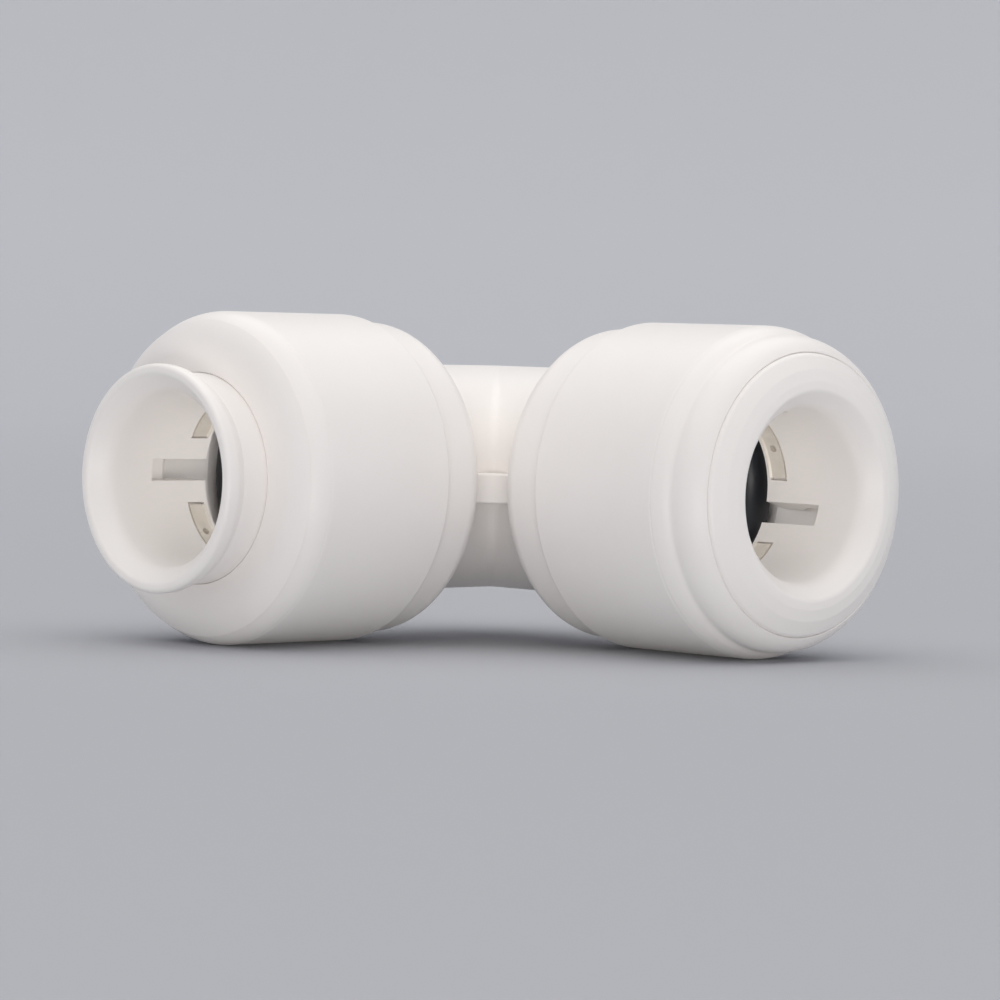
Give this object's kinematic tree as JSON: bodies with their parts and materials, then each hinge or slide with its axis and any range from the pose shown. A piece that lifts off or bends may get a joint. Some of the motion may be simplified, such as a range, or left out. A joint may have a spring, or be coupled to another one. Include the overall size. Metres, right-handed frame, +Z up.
{
  "type": "push to connect fitting",
  "caption": "White plastic elbow fitting that joins two plastic tubes at a right angle: each barrel grips a pushed-in tube and lets go when its release collet is pressed.",
  "frame": {"origin": "middle of the outline in plan, on the plane the two barrels rest on", "axes": "+X out of the first port, -Y out of the second port, +Z up from the resting plane"},
  "size_m": [0.0348, 0.0358, 0.0188],
  "materials": {
    "body_plastic": "satin moulded white plastic",
    "collet_plastic": "satin moulded white plastic",
    "seal_rubber": "smooth black rubber",
    "grip_steel": "bright stamped strip"
  },
  "bodies": {
    "fitting": {"elbow_body": "body_plastic", "cap_a": "body_plastic", "cap_b": "body_plastic", "seal_ring_a": "seal_rubber", "seal_ring_b": "seal_rubber"},
    "release_collet_a": {"collet_a": "collet_plastic", "tooth_a_1": "grip_steel", "tooth_a_2": "grip_steel", "tooth_a_3": "grip_steel", "tooth_a_4": "grip_steel"},
    "release_collet_b": {"collet_b": "collet_plastic", "tooth_b_1": "grip_steel", "tooth_b_2": "grip_steel", "tooth_b_3": "grip_steel", "tooth_b_4": "grip_steel"}
  },
  "joints": [
    {"name": "collet_a_slide", "type": "slide", "parent": "fitting", "child": "release_collet_a", "axis": [-1, 0, 0], "range_m": [-0.001, 0.0008]},
    {"name": "collet_b_slide", "type": "slide", "parent": "fitting", "child": "release_collet_b", "axis": [0, 1, 0], "range_m": [0, 0.0015]}
  ]
}
